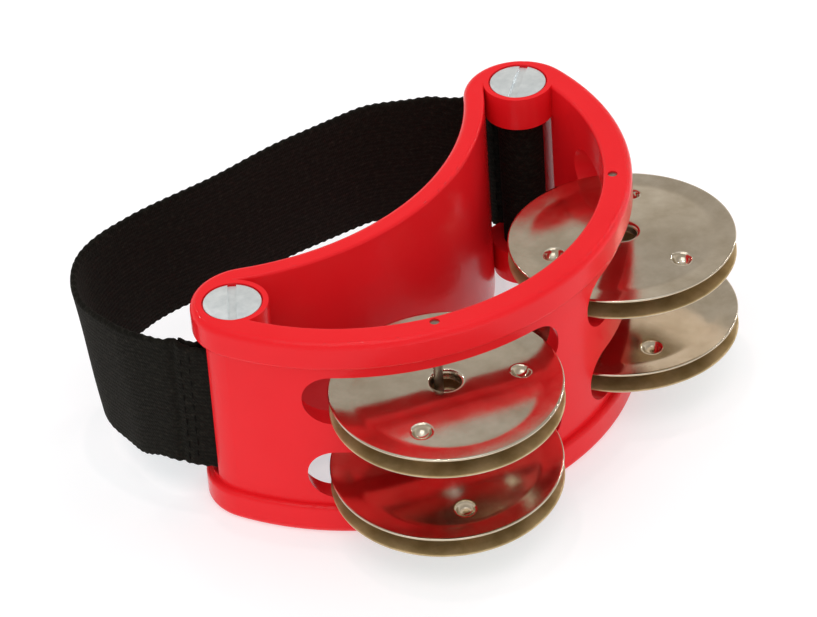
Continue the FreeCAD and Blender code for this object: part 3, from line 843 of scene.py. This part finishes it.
def stitch_rows(main):
    """Each row of stitches, as its place, its two directions, its start height and number."""
    inner_face = offset_line(main, -(1.5 * PLY + PLY_GAP))
    outer_face = offset_line(main, PLY / 2)
    for seam in SEAMS:
        near = nearest_index(main, seam)
        back = 1 if near < len(main) / 2 else -1
        for row, (steps_back, start) in enumerate(STITCH_ROWS):
            index = near - back * steps_back
            for face, side in ((inner_face, -1), (outer_face, 1)):
                along = direction(face, index)
                yield face[index], along, left_of(along) * side, LOW_MARGIN + start, row


def add_stitches(material):
    """Two upright rows of stitches through both plies at each fold."""
    vertices = []
    faces = []
    for spot, along, out, bottom, row in stitch_rows(curve_through(STRAP_ROUTE, STRAP_STEP)):
        while bottom + STITCH_LENGTH < STRAP_WIDTH - TOP_MARGIN:
            first = len(vertices)
            vertices += stitch_rings(spot, along, out, bottom, row)
            faces += ring_faces(THREAD_RINGS, THREAD_SIDES, close_rows=False, first=first)
            faces += end_caps(THREAD_RINGS, THREAD_SIDES, first=first)
            bottom += STITCH_LENGTH + STITCH_GAP
    stitches = new_object("strap_stitches", vertices, faces, material)
    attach(stitches, "frame")


# ------------------------------------------------------------------------ floor, light, camera

FLOOR_HALF_SIDE = 3.0


def make_floor_paper():
    """Pale paper that glows a little, so that its shadows stay light."""
    material = new_material(
        "paper_floor", Roughness=0.75, Specular_IOR_Level=0.1,
        Emission_Color=(0.385, 0.495, 0.51, 1), Emission_Strength=1.0)
    mottle = noise(material, object_coordinates(material), scale=30.0, detail=3.0)
    colour = ramp(material, mottle, [
        (0.3, (0.72, 0.59, 0.58, 1)),
        (0.7, (0.74, 0.61, 0.60, 1))])
    link(material, colour, shader_input(material, "Base Color"))
    return material


def add_floor():
    half = FLOOR_HALF_SIDE
    corners = [(-half, -half, 0), (half, -half, 0), (half, half, 0), (-half, half, 0)]
    floor = new_object("floor", corners, [(0, 1, 2, 3)], make_floor_paper(), smooth=False)


def make_world():
    """Even white studio for the diffuse light, and a duller warm room in reflections."""
    world = bpy.data.worlds.new("studio")
    bpy.context.scene.world = world
    world.use_nodes = True
    studio = world.node_tree.nodes["Background"]
    studio.inputs["Color"].default_value = (1.0, 1.0, 1.0, 1)
    studio.inputs["Strength"].default_value = 0.82
    where = add_node(world, "ShaderNodeTexCoord").outputs["Generated"]
    room = add_node(world, "ShaderNodeBackground")
    room_colour = ramp(world, split_vector(world, where)["Z"], [
        (0.00, (0.85, 0.84, 0.82, 1)),
        (0.35, (0.60, 0.56, 0.50, 1)),
        (0.62, (0.42, 0.39, 0.35, 1)),
        (0.80, (0.50, 0.48, 0.45, 1)),
        (1.00, (0.95, 0.95, 0.95, 1))])
    link(world, room_colour, room.inputs["Color"])
    path = add_node(world, "ShaderNodeLightPath")
    mix = add_node(world, "ShaderNodeMixShader")
    link(world, path.outputs["Is Glossy Ray"], mix.inputs["Fac"])
    link(world, studio.outputs["Background"], mix.inputs[1])
    link(world, room.outputs["Background"], mix.inputs[2])
    link(world, mix.outputs["Shader"], world.node_tree.nodes["World Output"].inputs["Surface"])


# Each lamp's place and the point it is aimed at, in metres, its width and height, and its watts.
LAMPS = {
    "key_softbox": ((-0.45, -0.25, 1.2), (0, 0, 0), 0.9, 0.7, 2.2),
    "side_strip": ((0.9, -0.1, 0.55), (0, 0, 0.03), 0.008, 0.6, 0.9),
    "overhead_spark": ((0.05, 0.10, 1.3), (0, 0, 0.03), 0.03, 0.03, 0.9),
    "back_spark": ((0.25, 0.8, 0.75), (0, 0, 0.03), 0.04, 0.04, 0.35),
}


def add_lamps():
    for name, (place, target, width, height, power) in LAMPS.items():
        light = bpy.data.lights.new(name, "AREA")
        light.shape = "RECTANGLE"
        light.size = width
        light.size_y = height
        light.energy = power
        lamp = bpy.data.objects.new(name, light)
        lamp.location = place
        aim = Vector(target) - Vector(place)
        lamp.rotation_euler = aim.to_track_quat("-Z", "Y").to_euler()
        bpy.context.scene.collection.objects.link(lamp)


CAMERA_AZIMUTH = math.radians(-49.05)
CAMERA_ELEVATION = math.radians(36.53)
CAMERA_ROLL = math.radians(-4.2)
CAMERA_TARGET = Vector((-9.53, -4.63, 30.0)) * MM
CAMERA_DISTANCE = 1.0929
CAMERA_LENS = 220.3
CAMERA_SENSOR = 36.0
CLIP_START, CLIP_END = 0.05, 20.0


def add_camera():
    """Long lens, looking down past the left tip at the jingles, tilted a few degrees."""
    level = math.cos(CAMERA_ELEVATION)
    back = Vector((
        math.sin(CAMERA_AZIMUTH) * level, -math.cos(CAMERA_AZIMUTH) * level,
        math.sin(CAMERA_ELEVATION)))
    right = Vector((math.cos(CAMERA_AZIMUTH), math.sin(CAMERA_AZIMUTH), 0.0))
    up = back.cross(right)
    rolled_right = right * math.cos(CAMERA_ROLL) + up * math.sin(CAMERA_ROLL)
    rolled_up = up * math.cos(CAMERA_ROLL) - right * math.sin(CAMERA_ROLL)
    camera = bpy.data.cameras.new("camera")
    camera.sensor_width = CAMERA_SENSOR
    camera.lens = CAMERA_LENS
    camera.clip_start = CLIP_START
    camera.clip_end = CLIP_END
    holder = bpy.data.objects.new("camera", camera)
    turn = Matrix((rolled_right, rolled_up, back)).transposed().to_4x4()
    holder.matrix_world = Matrix.Translation(CAMERA_TARGET + back * CAMERA_DISTANCE) @ turn
    bpy.context.scene.collection.objects.link(holder)
    bpy.context.scene.camera = holder


dress_cad_pieces()
add_jingles()
add_strap(make_elastic())
add_stitches(make_thread())
bpy.context.scene.view_settings.view_transform = "Standard"
add_floor()
make_world()
add_lamps()
add_camera()
